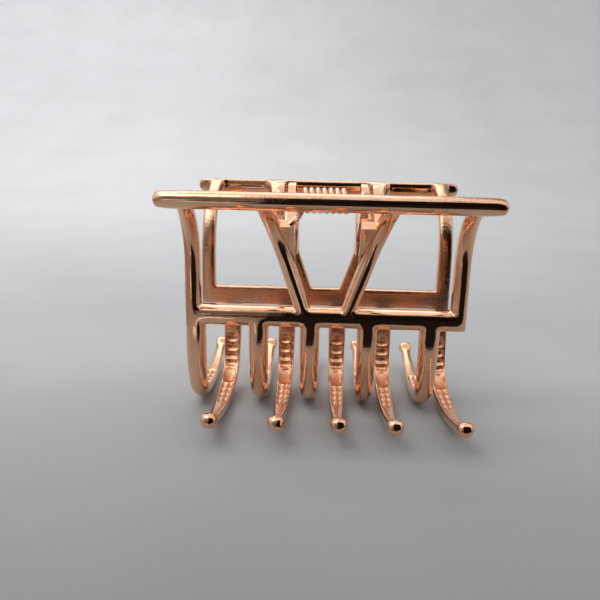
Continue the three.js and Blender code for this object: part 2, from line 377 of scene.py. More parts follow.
# %% [markdown]
# Legs and struts are pulled up from the bar's top edge, one row at a time. Each row moves
# along the side line, and a strut also steps sideways, which makes the V. Extruding from the
# bar keeps all of it one sheet, so that nothing has to be joined later.

# %% Pull up the legs and the struts
STRUT_LEAN = 0.35


def pull_up(low_x, high_x, lean):
    """Extrudes one bar from the mid bar's top edge to the last row before the handle bar."""
    edit_mode()
    found = pick_points(lambda p: near(p.z, BAR_TOP) and within(p.x, low_x, high_x))
    y, z = PLATE_Y, BAR_TOP
    for next_y, next_z, thickness in leg_line:
        push_out((lean * (next_z - z), next_y - y, next_z - z))
        y, z = next_y, next_z
    object_mode()
    return found


print("edge points:", [
    pull_up(-HALF_WIDTH, -LEG_INNER, 0), pull_up(LEG_INNER, HALF_WIDTH, 0),
    pull_up(-STRUT_FOOT[1], -STRUT_FOOT[0], -STRUT_LEAN),
    pull_up(STRUT_FOOT[0], STRUT_FOOT[1], STRUT_LEAN)])

# %% [markdown]
# At the top each bar goes on for two more rows, which are its share of the handle bar. The
# root of a strut spreads where it meets the handle. Then the gaps between the four shares are
# bridged, and the two free ends are pulled out past the legs and drawn in to a round end.

# %% Handle bar
last_y, last_z = leg_line[-1][:2]
top_shift = STRUT_LEAN * (last_z - BAR_TOP)
bar_tops = [(-HALF_WIDTH, -LEG_INNER),
            (-STRUT_FOOT[1] - top_shift, -STRUT_FOOT[0] - top_shift),
            (STRUT_FOOT[0] + top_shift, STRUT_FOOT[1] + top_shift),
            (LEG_INNER, HALF_WIDTH)]
SPREAD = (1.12, 1.45, 1.45, 1.12)
handle_spans = []
edit_mode()
for (low_x, high_x), spread in zip(bar_tops, SPREAD):
    pick_points(lambda p: near(p.z, last_z) and within(p.x, low_x, high_x))
    push_out((0, HANDLE_Y[0] - last_y, HANDLE_Z[0] - last_z))
    middle = (low_x + high_x) / 2
    stretch((spread, 1, 1), (middle, HANDLE_Y[0], HANDLE_Z[0]))
    push_out((0, HANDLE_Y[1] - HANDLE_Y[0], HANDLE_Z[1] - HANDLE_Z[0]))
    half = (high_x - low_x) / 2 * spread
    handle_spans.append((middle - half, middle + half))


def on_handle(p):
    return p.y < HANDLE_Y[0] + REACH


for left, right_span in zip(handle_spans, handle_spans[1:]):
    pick_points(lambda p: on_handle(p) and (near(p.x, left[1]) or near(p.x, right_span[0])))
    bpy.ops.mesh.bridge_edge_loops()

HANDLE_ENDS = ((20.7, 0.98), (21.4, 0.84), (22.0, 0.6))     # X and share of the depth
for side in (-1, 1):
    end_x, depth = handle_spans[-1][1], 1.0
    pick_points(lambda p: on_handle(p) and near(p.x, side * end_x))
    for next_x, next_depth in HANDLE_ENDS:
        push_out((side * (next_x - end_x), 0, 0))
        stretch((1, next_depth / depth, 1),
                (side * next_x, sum(HANDLE_Y) / 2, sum(HANDLE_Z) / 2))
        end_x, depth = next_x, next_depth
object_mode()
print("sheet faces so far:", len(jaw.data.polygons))

# %% [markdown]
# The teeth grow from the bar's bottom edge as the legs grew from its top: one extrusion for
# each row, and then a stretch to the row's width. One tooth could be copied five times, but
# each copy would need a joint with the bar, and the outermost stands flush with the leg.

# %% Pull down the teeth
def pull_down(low_x, high_x):
    """Extrudes one tooth from the mid bar's bottom edge, row by row, to its ball."""
    middle = (low_x + high_x) / 2
    edit_mode()
    found = pick_points(lambda p: near(p.z, BAR_BOTTOM) and within(p.x, low_x, high_x))
    y, z, width = PLATE_Y, BAR_BOTTOM, high_x - low_x
    for run, next_width, thickness in tooth_rows:
        next_y, next_z, heading = tooth_point(run)
        push_out((0, next_y - y, next_z - z))
        stretch((next_width / width, 1, 1), (middle, next_y, next_z))
        y, z, width = next_y, next_z, next_width
    object_mode()
    return found


print("tooth edge points:", [pull_down(*tooth) for tooth in teeth])

# %% [markdown]
# The Solidify modifier gives the sheet its metal, half to each side. A vertex group says how
# thick the metal is at each row, as a share of the thickest place. Extruding the faces along
# their normals would give one thickness everywhere, and the casting gets thinner to its ends.

# %% Give the sheet its thickness
FULL_THICKNESS = max(HANDLE_THICKNESS)
HANDLE_END_START = 20.6
HANDLE_TIP = HANDLE_ENDS[-1][0]
TIP_THINNING = 0.3
HANDLE_LIP = 0.35               # how near to the handle's outer edge its face is made flat

rows = leg_line + [(PLATE_Y, z, CASTING_THICKNESS) for z in (BAR_TOP, BAR_BOTTOM)]
rows += zip(HANDLE_Y, HANDLE_Z, HANDLE_THICKNESS)
rows += [tooth_point(run)[:2] + (thickness,) for run, width, thickness in tooth_rows]

only(jaw)
metal = jaw.vertex_groups.new(name="metal")
for vertex in jaw.data.vertices:
    nearest = min(rows, key=lambda row: (row[0] - vertex.co.y) ** 2 + (row[1] - vertex.co.z) ** 2)
    end_share = max(0.0, abs(vertex.co.x) - HANDLE_END_START) / (HANDLE_TIP - HANDLE_END_START)
    left_over = 1 - TIP_THINNING * end_share ** 2
    metal.add([vertex.index], nearest[2] / FULL_THICKNESS * left_over, "REPLACE")
edit_mode()
close_up(merge=0.01)
add_modifier(jaw, "SOLIDIFY", thickness=FULL_THICKNESS, offset=0, use_even_offset=True,
             vertex_group="metal", use_rim=True)
edit_mode()
pick_points(lambda p: p.y < HANDLE_Y[1] + HANDLE_LIP and abs(p.x) < HANDLE_END_START)
stretch((1, 0, 1), (0, HANDLE_Y[1], 0))
object_mode()
print("solid faces:", len(jaw.data.polygons))

# %% [markdown]
# A place on the jaw is known by its run, which is the nearest point of the side line, and by
# the way that is outwards there. Both are used to pick faces and edges.

# %% Which way is outwards
STEPS_PER_MILLIMETRE = 4
tooth_steps = [(step / STEPS_PER_MILLIMETRE, *tooth_point(step / STEPS_PER_MILLIMETRE))
               for step in range(int(STEPS_PER_MILLIMETRE * TOOTH_LENGTH) + 6)]


def outward(place):
    """The nearest run down the tooth or None on the plate, and which way is outwards there."""
    if place.z > BAR_BOTTOM:
        turn = math.atan2(max(0.0, place.z - FLARE_START), place.y - FLARE_MIDDLE_Y)
        return None, Vector((0, -math.cos(turn), -math.sin(turn)))
    run, y, z, heading = min(tooth_steps,
                             key=lambda step: (step[1] - place.y) ** 2 + (step[2] - place.z) ** 2)
    return run, Vector((0, math.sin(heading), -math.cos(heading)))


# %% [markdown]
# The sharp edges get a chamfer, wide on the outer side and narrow on the inner side, where
# the casting left its mould. Subdivision will round that into the soft D shape of a real bar.
# One width for all edges would make the bars round, so each edge carries a weight, which
# says how much of the full chamfer it gets.

# %% How wide each chamfer is
CHAMFER = 0.58                  # the full width
FLATTEST = math.radians(68)     # a fold flatter than this gets none
MOSTLY = 0.7                    # how well two directions agree to count as one
END_SHARE = 0.6                 # at the very ends of the handle bar and the balls
BALL_SHARE = 0.85
THROUGH_SHARE = 0.25            # on edges that run through the metal, at window corners
INNER_SHARE = 0.35
INNER_TOP = -1.5                # above this the inner side is the handle bar's upper face
TIP_LOSS = 0.35                 # lost evenly down a tooth


def chamfer_share(edge):
    """How much of the full chamfer an edge gets."""
    if edge.calc_face_angle(0.0) < FLATTEST:
        return 0.0
    middle = (edge.verts[0].co + edge.verts[1].co) / 2
    run, out = outward(middle)
    if abs(middle.x) > HANDLE_TIP - 0.1 or (run is not None and run > BALL_MIDDLE + 0.85):
        return END_SHARE
    if run is not None and run > NECK - 0.3:
        return BALL_SHARE if run > BALL_MIDDLE + 0.4 else 1.0
    if abs((edge.verts[0].co - edge.verts[1].co).normalized().dot(out)) > MOSTLY:
        return THROUGH_SHARE
    inner = max(face.normal.dot(-out) for face in edge.link_faces) > MOSTLY
    if inner and middle.z < INNER_TOP:
        return INNER_SHARE
    return 1.0 if run is None else 1.0 - TIP_LOSS * run / TOOTH_LENGTH


print("chamfers, mm:", CHAMFER, "outside and", round(CHAMFER * INNER_SHARE, 2), "inside")

# %% Chamfer the edges
mesh = bmesh.new()
mesh.from_mesh(jaw.data)
mesh.normal_update()
shares = [chamfer_share(edge) for edge in mesh.edges]
mesh.free()
weights = jaw.data.attributes.new("bevel_weight_edge", "FLOAT", "EDGE")
weights.data.foreach_set("value", shares)
add_modifier(jaw, "BEVEL", width=CHAMFER, segments=1, limit_method="WEIGHT",
             use_clamp_overlap=False)
leg_section = sorted({round(v.co.x, 2) for v in jaw.data.vertices
                      if near(v.co.z, LEG_MIDDLE) and v.co.x > LEG_INNER - 0.1})
print("faces after the chamfer:", len(jaw.data.polygons), "leg section, X:", leg_section)

# %% [markdown]
# The outer faces are crowned: they rise a little along the middle of every bar. All of them
# are picked as one region, inset, and lifted, so the crown runs on where bars meet. Insetting
# each face for itself would leave a dent at every row.

# %% Crown the outer faces
FACING = 0.9                    # how squarely a face has to look outwards
CROWN_TOP_Y = -13.4             # further out the handle bar begins
CROWN_LAST_RUN = 18.6
CROWN_MARGIN = 0.4
CROWN_RISE = 0.15
LOWER_EDGE = (20.9, -15.7, 0.3) # X, Y and Z that bound the handle bar's lower outer edge
HANDLE_TUCK = 0.5               # how far that edge is drawn in


def needs_crown(place, normal):
    run, out = outward(place)
    if normal.dot(out) < FACING or place.y < CROWN_TOP_Y:
        return False
    return run is None or run < CROWN_LAST_RUN


edit_mode()
print("outer faces:", pick_faces(needs_crown))
bpy.ops.mesh.inset(thickness=CROWN_MARGIN, depth=CROWN_RISE, use_even_offset=True)
picked = pick_points(lambda p: abs(p.x) < LOWER_EDGE[0] and p.y < LOWER_EDGE[1]
                     and p.z < LOWER_EDGE[2])
bpy.ops.transform.translate(value=(0, HANDLE_TUCK, 0))
print("handle's lower edge:", picked)

# %% [markdown]
# The clip stands on the undersides of its hooks, and the crown has made them deeper. The
# hooks alone are squashed a little to stand on the table again. Lifting the whole jaw would
# do that too, but it would take the ears off the hinge.

# %% Set the hooks on the table
HOOK_TOP = -25
HOOK_SQUASH = 0.95
picked = pick_points(lambda p: p.z < HOOK_TOP)
stretch((1, 1, HOOK_SQUASH), (0, 0, HOOK_TOP))
print("points in the hooks:", picked)

# %% [markdown]
# The inner face of each tooth has a ladder of small pockets that grip the hair, then a smooth
# scoop that narrows upwards, then a finer double ladder. Each pocket is one face, inset and
# sunk. The finer ladder's faces are first cut in two down the middle of the tooth. A bump map
# would be quicker, but the pockets are deep enough to show in the tooth's outline.

# %% Grip pockets and scoops
UPPER_POCKET = {"thickness": 0.17, "depth": -0.42}
SCOOP_POCKET = {"thickness": 0.2, "depth": -0.42}
LOWER_POCKET = {"thickness": 0.13, "depth": -0.4}
SCOOP_TIP = 0.35                # what is left of the scoop's width at its upper end
TIP_HEIGHT = 0.15               # points this close to the highest one belong to the tip
HALF_FLOOR = 0.8                # more than half the width of the scoop's floor


def tooth_inside(low_run, high_run):
    """A test for faces on the inner side of the teeth, between two runs."""
    def test(place, normal):
        run, out = outward(place)
        return run is not None and low_run < run < high_run and normal.dot(out) < -FACING
    return test


print("upper pockets:", pick_faces(tooth_inside(GRIP_UPPER[0], GRIP_UPPER[-1])))
bpy.ops.mesh.inset(use_individual=True, **UPPER_POCKET)
print("scoop faces:", pick_faces(tooth_inside(SCOOP[0], SCOOP[-1])))
bpy.ops.mesh.inset(**SCOOP_POCKET)
mesh = bmesh.from_edit_mesh(jaw.data)
sunk = {vertex for face in mesh.faces if face.select for vertex in face.verts}
for middle in TOOTH_MIDDLES:
    tip = max((v.co.z for v in sunk if abs(v.co.x - middle) < TOOTH_WIDTH / 2), default=0)
    pick_points(lambda p: near(p.z, tip, TIP_HEIGHT) and near(p.x, middle, HALF_FLOOR))
    stretch((SCOOP_TIP, 1, 1), (middle, 0, 0))
for middle in TOOTH_MIDDLES:
    pick_faces(tooth_inside(GRIP_LOWER[0], GRIP_LOWER[-1]))
    bpy.ops.mesh.bisect(plane_co=(middle, 0, 0), plane_no=(1, 0, 0), threshold=0.0001)
print("lower pockets:", pick_faces(tooth_inside(GRIP_LOWER[0], GRIP_LOWER[-1])))
bpy.ops.mesh.inset(use_individual=True, **LOWER_POCKET)
object_mode()
add_modifier(jaw, "SUBSURF", levels=2, render_levels=2)
print("smooth faces:", len(jaw.data.polygons))

# %% [markdown]
# Each jaw carries two ears for the pin. An ear is a ring whose front half is drawn down to
# the strut as an arm. The ring is two circles bridged together, which leaves the bore open
# without a Boolean, and the arm is the front of the outer circle, extruded and pressed flat
# against the plate.

# %% How an ear is made
EAR_RADIUS = 2.6
EAR_THICKNESS = 1.15
EAR_CHAMFER = 0.22
PIN_RADIUS = 0.8
BORE_RADIUS = 0.88
EAR_SIDES = 32
ARM_HALFWAY = (1, 0.9, 0.5)     # what is left of the ring's shape halfway down the arm
ARM_FOOT_SHARE = 1.8            # width of the arm's end before it is fitted, in ear radii


def make_ear(name, middle_x, foot_low, foot_high):
    """An ear round the hinge axis with its arm. The foot is two (y, z) places in the plate."""
    clear_selection()
    turn = (0, math.pi / 2, 0)
    bpy.ops.mesh.primitive_circle_add(vertices=EAR_SIDES, radius=EAR_RADIUS, rotation=turn,
                                      location=(0, 0, 0))
    ear = bpy.context.object
    ear.name = name
    bpy.ops.object.transform_apply(location=True, rotation=True, scale=True)
    edit_mode()
    bpy.ops.mesh.primitive_circle_add(vertices=EAR_SIDES, radius=BORE_RADIUS, rotation=turn,
                                      location=(0, 0, 0))
    select_all()
    bpy.ops.mesh.bridge_edge_loops()

    foot_middle = (Vector((0, *foot_low)) + Vector((0, *foot_high))) / 2
    along = (Vector((0, *foot_high)) - Vector((0, *foot_low))).normalized()
    across = Vector((1, 0, 0)).cross(along)
    towards = foot_middle.normalized()

    def faces_foot(p):
        return p.length > EAR_RADIUS - 0.1 and p.normalized().dot(towards) > -0.05

    pick_points(faces_foot)
    stretch_axes = Matrix((Vector((1, 0, 0)), along, across)).transposed()
    foot_length = (Vector((0, *foot_high)) - Vector((0, *foot_low))).length
    foot_stretch = (1, foot_length / (ARM_FOOT_SHARE * EAR_RADIUS), 0)
    for way, scale in ((0.5, ARM_HALFWAY), (1.0, foot_stretch)):
        push_out(foot_middle * 0.5)
        bpy.ops.transform.resize(value=scale, orient_matrix=stretch_axes, orient_type="GLOBAL",
                                 orient_matrix_type="GLOBAL", center_override=foot_middle * way)
    select_all()
    bpy.ops.transform.translate(value=(middle_x - EAR_THICKNESS / 2, 0, 0))
    push_out((EAR_THICKNESS, 0, 0))
    close_up()
    soften(ear, EAR_CHAMFER)
    return ear


print("room round the pin, mm:", round(BORE_RADIUS - PIN_RADIUS, 2))

# %% Ears with their arms
INNER_EAR_X = -5.275
OUTER_EAR_X = 6.925
ARM_TOP = (-8.25, -2.7)
inner_ear = make_ear("inner_ear", INNER_EAR_X, (-6.05, -7.0), ARM_TOP)
outer_ear = make_ear("outer_ear", OUTER_EAR_X, (-6.3, -5.6), ARM_TOP)
print("ear faces:", len(inner_ear.data.polygons), len(outer_ear.data.polygons))

# %% [markdown]
# Beside each strut a thin web, the gusset, fills the top of the V. It follows the plate's
# curve a little behind its front. It could be grown out of the jaw's own sheet, but it is
# thinner than the strut and set back from it. So one strip is made, given thickness and
# rounded, and its mirror image is the other one.

# %% Line of the gussets
GUSSET_EDGE = 4.5
GUSSET_ROWS = (-8.9, -8.2, -7.2, -6.0, -4.8, -3.6, -2.4)
GUSSET_SETBACK = 0.9
GUSSET_THICKNESS = 1.5
GUSSET_CHAMFER = 0.25
GUSSET_EDGE_TUCK = 0.15
IN_THE_STRUT = 0.55             # how far the gusset reaches into the strut
FLARE_MIDDLE_RADIUS = 10.1


def plate_y(z):
    """Middle of the metal in the legs and struts at a height."""
    if z < FLARE_START:
        return PLATE_Y
    return FLARE_MIDDLE_Y + math.sqrt(FLARE_MIDDLE_RADIUS ** 2 - (z - FLARE_START) ** 2)


def gusset_y(z):
    """The gusset leans: its lower end lies further back in the plate."""
    down = (GUSSET_ROWS[-1] - z) / (GUSSET_ROWS[-1] - GUSSET_ROWS[0])
    return plate_y(z) + GUSSET_SETBACK * down


def gusset_width(z):
    """From the gusset's free edge to a little way inside the strut."""
    strut_side = STRUT_FOOT[0] + STRUT_LEAN * (z - BAR_TOP)
    return max(0.5, strut_side + IN_THE_STRUT - GUSSET_EDGE)


print("gusset widths, mm:", [round(gusset_width(row), 2) for row in GUSSET_ROWS])

# %% Gussets
clear_selection()
y, z = gusset_y(GUSSET_ROWS[0]), GUSSET_ROWS[0]
width = gusset_width(z)
bpy.ops.mesh.primitive_plane_add(size=1, rotation=(math.pi / 2, 0, 0),
                                 location=(GUSSET_EDGE + width / 2, y, z))
gusset = bpy.context.object
gusset.name = "gusset"
gusset.scale = (width, 0.02, 1)
bpy.ops.object.transform_apply(location=True, rotation=True, scale=True)
edit_mode()
pick_points(lambda p: p.z > GUSSET_ROWS[0])
for row in GUSSET_ROWS[1:]:
    push_out((0, gusset_y(row) - y, row - z))
    stretch((gusset_width(row) / width, 1, 1), (GUSSET_EDGE, gusset_y(row), row))
    y, z, width = gusset_y(row), row, gusset_width(row)
pick_points(lambda p: near(p.x, GUSSET_EDGE))
bpy.ops.transform.translate(value=(0, GUSSET_EDGE_TUCK, 0))
close_up()
add_modifier(gusset, "SOLIDIFY", thickness=GUSSET_THICKNESS, offset=0, use_even_offset=True)
soften(gusset, GUSSET_CHAMFER)
only(gusset)
bpy.ops.object.duplicate()
other_gusset = bpy.context.object
other_gusset.name = "other_gusset"
edit_mode()
select_all()
bpy.ops.transform.resize(value=(-1, 1, 1), center_override=(0, 0, 0))
bpy.ops.mesh.normals_make_consistent(inside=False)
object_mode()
print("gusset faces:", len(gusset.data.polygons))

# %% [markdown]
# Ears, arms and gussets become one casting with the frame by the Boolean modifier, so the
# jaw is a single closed skin, as the real one is. Left as parts pushed into each other they
# would look the same from outside, but light and wear would not follow the real joints.

# %% Fuse the casting
def fuse(piece, *others):
    for other in others:
        add_modifier(piece, "BOOLEAN", operation="UNION", solver="MANIFOLD", object=other)
        bpy.data.objects.remove(other)


fuse(jaw, gusset, other_gusset, inner_ear, outer_ear)
edit_mode()
close_up(merge=0.0005)
bpy.ops.object.shade_smooth_by_angle(angle=SHARP)
jaw.vertex_groups.clear()
print("jaw faces:", len(jaw.data.polygons))

# %% [markdown]
# Polish is not the same all over a casting. Outer faces are tumbled bright, while hollows,
# inner faces and pockets keep some of the mould's grain, and the plating wears first on
# raised edges. The Pointiness output could find both, but only in one render engine, so they
# are worked out from the shape here and stored on the mesh for the material. The material
# also makes hollows and inner faces darker in colour, which is painted shade.

# %% Store hollows and worn edges on the mesh
def store_shape(piece, scale, inner_grain_and_shade=0.0):
    """Adds two values to each vertex: worn, on raised edges, and grain with painted shade, in
    hollows.
    """
    mesh = bmesh.new()
    mesh.from_mesh(piece.data)
    mesh.normal_update()
    inner = [0.0] * len(mesh.verts)
    if inner_grain_and_shade:
        inner = [inner_grain_and_shade if vertex.normal.dot(outward(vertex.co)[1]) < -0.6 else 0.0
                 for vertex in mesh.verts]
    bend = []
    for vertex in mesh.verts:
        around = [edge.other_vert(vertex).co - vertex.co for edge in vertex.link_edges]
        lift = [step.normalized().dot(vertex.normal) for step in around if step.length > 1e-6]
        bend.append(sum(lift) / max(1, len(lift)))
    for again in range(2):
        bend = [(bend[v.index] + sum(bend[e.other_vert(v).index] for e in v.link_edges)
                 / max(1, len(v.link_edges))) / 2 for v in mesh.verts]
    mesh.free()
    for name, sign, extra in (("worn", -1, [0.0] * len(bend)), ("hollow_grain_and_shade", 1, inner)):
        layer = piece.data.attributes.new(name, "FLOAT", "POINT")
        layer.data.foreach_set("value", [min(1.0, max(0.0, sign * value * scale) + more)
                                         for value, more in zip(bend, extra)])
    return max(bend), min(bend)


INNER_HAZE_AND_SHADE = 0.6                # how much grain and painted shade the flat inner faces get
print("bend range:", store_shape(jaw, 4.0, inner_grain_and_shade=INNER_HAZE_AND_SHADE))

# %% [markdown]
# The rear jaw is the same casting turned half round the upright axis, and not its mirror
# image, because only then do the teeth of one pass between the teeth of the other. It gets
# its own mesh.

# %% Rear jaw
only(jaw)
bpy.ops.object.duplicate()
rear_jaw = bpy.context.object
rear_jaw.name = "rear_jaw_casting"
rear_jaw.data.transform(Matrix.Rotation(math.pi, 4, "Z"))
to_frame(jaw)
to_frame(rear_jaw)
print("jaw width, mm:", [round(1000 * side, 2) for side in jaw.dimensions])

# %% [markdown]
# The hinge pin is a plain rod, peened over at both ends into low domes. A dome could be half
# a sphere, but a peened head is flatter and starts with a small lip, so a cylinder's end face
# is pushed out and stretched a few times instead.

# %% Hinge pin
PIN_SIDES = 40
PIN_CHAMFER = 0.05
PIN_SHAFT_END = 7.8
HEAD_STEPS = ((0.0, 1.3), (0.08, 1.38), (0.26, 1.36), (0.42, 1.1), (0.52, 0.7), (0.56, 0.3))

clear_selection()
bpy.ops.mesh.primitive_cylinder_add(vertices=PIN_SIDES, radius=PIN_RADIUS,
                                    depth=2 * PIN_SHAFT_END, rotation=(0, math.pi / 2, 0))
pin = bpy.context.object
pin.name = "peened_hinge_pin"
bpy.ops.object.transform_apply(location=True, rotation=True, scale=True)
edit_mode()
for side in (-1, 1):
    pick_faces(lambda place, normal: place.x * side > PIN_SHAFT_END - 0.1)
    height, radius = 0.0, PIN_RADIUS
    for next_height, next_radius in HEAD_STEPS:
        push_out((side * (next_height - height), 0, 0))
        grow = next_radius / radius
        stretch((1, grow, grow), (side * (PIN_SHAFT_END + next_height), 0, 0))
        height, radius = next_height, next_radius
close_up(merge=0.0001)
add_modifier(pin, "BEVEL", width=PIN_CHAMFER, segments=2, limit_method="ANGLE",
             angle_limit=math.radians(50))
bpy.ops.object.shade_smooth_by_angle(angle=math.radians(35))
print("pin bend:", store_shape(pin, 3.0))
to_frame(pin)

# %% [markdown]
# The torsion spring is one piece of round wire. Its path is a helix round the pin with a leg
# at each end that bears on a jaw. The Screw modifier makes a neat helix, but not the legs, so
# the whole path is laid out as points, and a smooth curve is drawn through them.

# %% Path of the spring wire
WIRE_RADIUS = 0.45
COIL_RADIUS = 1.5
COIL_TURNS = 7
COIL_START = -3.9
COIL_PITCH = 0.94
COIL_END = COIL_START + COIL_TURNS * COIL_PITCH
REST = -1.7                     # height at which the legs bear on the jaws
STEPS_PER_TURN = 24
LONGEST_STEP = 0.5

wire = [(-5.1, -10.83, REST - 0.7), (-4.4, -10.43, REST - 0.1), (-4.1, -8.43, REST),
        (COIL_START - 0.05, -4.2, -COIL_RADIUS - 0.1), (COIL_START, -1.2, -COIL_RADIUS)]
for step in range(COIL_TURNS * STEPS_PER_TURN + 1):
    angle = 2 * math.pi * step / STEPS_PER_TURN
    wire.append((COIL_START + COIL_PITCH * step / STEPS_PER_TURN,
                 COIL_RADIUS * math.sin(angle), -COIL_RADIUS * math.cos(angle)))
wire += [(COIL_END, 1.2, -COIL_RADIUS), (3.34, 4.2, -COIL_RADIUS - 0.1), (4.1, 8.43, REST),
         (4.4, 10.43, REST - 0.1), (5.1, 10.83, REST - 0.7)]
print("points laid out:", len(wire))


# %% Smooth the path
def between(p0, p1, p2, p3, t):
    """A point on the smooth curve through four points, between the middle two."""
    return 0.5 * (2 * p1 + (p2 - p0) * t + (2 * p0 - 5 * p1 + 4 * p2 - p3) * t ** 2
                  + (3 * p1 - p0 - 3 * p2 + p3) * t ** 3)


def smooth_path(points):
    """Adds points on long stretches, so that the legs bend as evenly as the coils."""
    points = [Vector(point) for point in points]
    path = []
    for i in range(len(points) - 1):
        p0, p1 = points[max(0, i - 1)], points[i]
        p2, p3 = points[i + 1], points[min(len(points) - 1, i + 2)]
        parts = max(1, round((p2 - p1).length / LONGEST_STEP))
        path += [between(p0, p1, p2, p3, part / parts) for part in range(parts)]
    return path + [points[-1]]


path = smooth_path(wire)
print("path points:", len(path), "length, mm:",
      round(sum((b - a).length for a, b in zip(path, path[1:])), 1))

# %% [markdown]
# A curve with a round section keeps the wire equally thick through every bend, which a ring
# of points swept by hand would not. It is then turned into a mesh, and its doubles are merged.

# %% Spring wire
clear_selection()
bpy.ops.curve.primitive_nurbs_path_add()
spring = bpy.context.object
spring.name = "torsion_spring_wire"
spring.data.splines.clear()
line = spring.data.splines.new("POLY")
line.points.add(len(path) - 1)
for point, place in zip(line.points, path):
    point.co = (*place, 1)
spring.data.dimensions = "3D"
spring.data.bevel_depth = WIRE_RADIUS
spring.data.bevel_resolution = 4
spring.data.use_fill_caps = True
bpy.ops.object.convert(target="MESH")
spring = bpy.context.object
edit_mode()
close_up(merge=0.0001)
bpy.ops.object.shade_smooth_by_angle(angle=math.radians(50))
store_shape(spring, 2.0)
to_frame(spring)
print("spring faces:", len(spring.data.polygons))

# %% [markdown]
# A material is a net of nodes. In the editor they are placed and wired by hand. Here a small
# class does it, with one short name for each kind of node that the finishes use.

# %% Helpers for node materials
class Nodes:
    """A short way to add nodes to one material and to link them."""

    def __init__(self, name):
        self.material = bpy.data.materials.new(name)
        self.material.use_nodes = True
        self.tree = self.material.node_tree
        self.shader = self.tree.nodes["Principled BSDF"]
        self.place = self.add("ShaderNodeTexCoord").outputs["Object"]

    def add(self, kind, **values):
        node = self.tree.nodes.new(kind)
        for name, value in values.items():
            if hasattr(node, name):
                setattr(node, name, value)
            else:
                node.inputs[name.replace("_", " ").title()].default_value = value
        return node

    def link(self, source, target):
        self.tree.links.new(source, target)

    def noise(self, size, detail=2.0, roughness=0.5):
        """Noise whose features are about so many millimetres wide."""
        node = self.add("ShaderNodeTexNoise", scale=1 / (size * MILLIMETRE), detail=detail,
                        roughness=roughness)
        self.link(self.place, node.inputs["Vector"])
        return node.outputs["Fac"]

    def span(self, source, low, high, new_low, new_high):
        node = self.add("ShaderNodeMapRange")
        self.link(source, node.inputs["Value"])
        for name, value in zip(("From Min", "From Max", "To Min", "To Max"),
                               (low, high, new_low, new_high)):
            node.inputs[name].default_value = value
        return node.outputs["Result"]

    def mix(self, share, first, second):
        node = self.add("ShaderNodeMix", data_type="RGBA")
        self.link(share, node.inputs["Factor"])
        for socket, value in ((node.inputs[6], first), (node.inputs[7], second)):
            if isinstance(value, tuple):
                socket.default_value = (*value, 1)
            else:
                self.link(value, socket)
        return node.outputs[2]

    def calculate(self, operation, first, second):
        node = self.add("ShaderNodeMath", operation=operation)
        for socket, value in zip(node.inputs, (first, second)):
            if isinstance(value, (int, float)):
                socket.default_value = value
            else:
                self.link(value, socket)
        return node.outputs["Value"]

    def stored(self, name):
        return self.add("ShaderNodeAttribute", attribute_name=name).outputs["Fac"]

    def bump(self, height, distance, strength, normal=None):
        node = self.add("ShaderNodeBump")
        node.inputs["Strength"].default_value = strength
        node.inputs["Distance"].default_value = distance * MILLIMETRE
        self.link(height, node.inputs["Height"])
        if normal is not None:
            self.link(normal, node.inputs["Normal"])
        return node.outputs["Normal"]


# %% [markdown]
# Rose gold plating over a die casting is a mirror with faults: the colour drifts a little from
# place to place, the surface waves slightly where the mould was, and hollows stay matt with a
# fine grain. Hollows and inner faces are also made darker in colour, as painted shade. A
# painted texture could hold all that, but noise on the object's own coordinates needs no
# unwrapping and stays sharp from any distance.

# %% Rose gold plating
WORN_COLOUR = (0.94, 0.80, 0.66)
HOLLOW_HAZE = 0.14              # roughness that a hollow adds
RUBBED_HAZE = 0.06              # roughness that wear adds
OPEN_GRAIN = 0.12               # what shows of the grain on open faces


def rose_gold(name, light, deep, rough, grain, wave):
    """Plated metal. Grain and wave are depths in millimetres, grain in the hollows."""
    nodes = Nodes(name)
    nodes.shader.inputs["Metallic"].default_value = 1.0
    drift = nodes.span(nodes.noise(6.0, 3.0), 0.35, 0.65, 0.0, 1.0)
    colour = nodes.mix(drift, light, deep)
    hollow_grain_and_shade = nodes.stored("hollow_grain_and_shade")
    # painted shade: hollows and inner faces are made darker in colour
    colour = nodes.mix(hollow_grain_and_shade, colour, tuple(0.9 * part for part in deep))
    rub = nodes.calculate("MULTIPLY", nodes.stored("worn"),
                          nodes.span(nodes.noise(1.2, 4.0), 0.45, 0.7, 0.0, 0.8))
    colour = nodes.mix(rub, colour, WORN_COLOUR)
    nodes.link(colour, nodes.shader.inputs["Base Color"])

    haze = nodes.span(nodes.noise(2.5, 4.0, 0.6), 0.3, 0.7, *rough)
    for place, share in ((hollow_grain_and_shade, HOLLOW_HAZE), (rub, RUBBED_HAZE)):
        haze = nodes.calculate("ADD", haze, nodes.calculate("MULTIPLY", place, share))
    nodes.link(haze, nodes.shader.inputs["Roughness"])

    waves = nodes.bump(nodes.noise(4.5, 1.0), wave, 1.0)
    fine = nodes.calculate("MULTIPLY", nodes.noise(0.35, 3.0, 0.6),
                           nodes.calculate("ADD", hollow_grain_and_shade, OPEN_GRAIN))
    normal = nodes.bump(fine, grain, 1.0, waves)
    nodes.link(normal, nodes.shader.inputs["Normal"])
    return nodes.material


casting_finish = rose_gold("rose_gold_casting", (0.89, 0.54, 0.35), (0.83, 0.45, 0.27),
                           rough=(0.05, 0.14), grain=0.07, wave=0.10)
pin_finish = rose_gold("rose_gold_pin", (0.88, 0.56, 0.38), (0.82, 0.46, 0.29),
                       rough=(0.12, 0.24), grain=0.03, wave=0.02)
wire_finish = rose_gold("rose_gold_wire", (0.86, 0.53, 0.35), (0.78, 0.42, 0.26),
                        rough=(0.14, 0.30), grain=0.03, wave=0.02)
print("finishes:", casting_finish.name, pin_finish.name, wire_finish.name)

# %% [markdown]
# Each mesh gets its metal. The imported pieces of the jaws and the pin are hidden, and each
# new mesh is put on the body of the jaw that it moves with. The pin is peened fast in the rear
# jaw, and the front jaw turns on it.

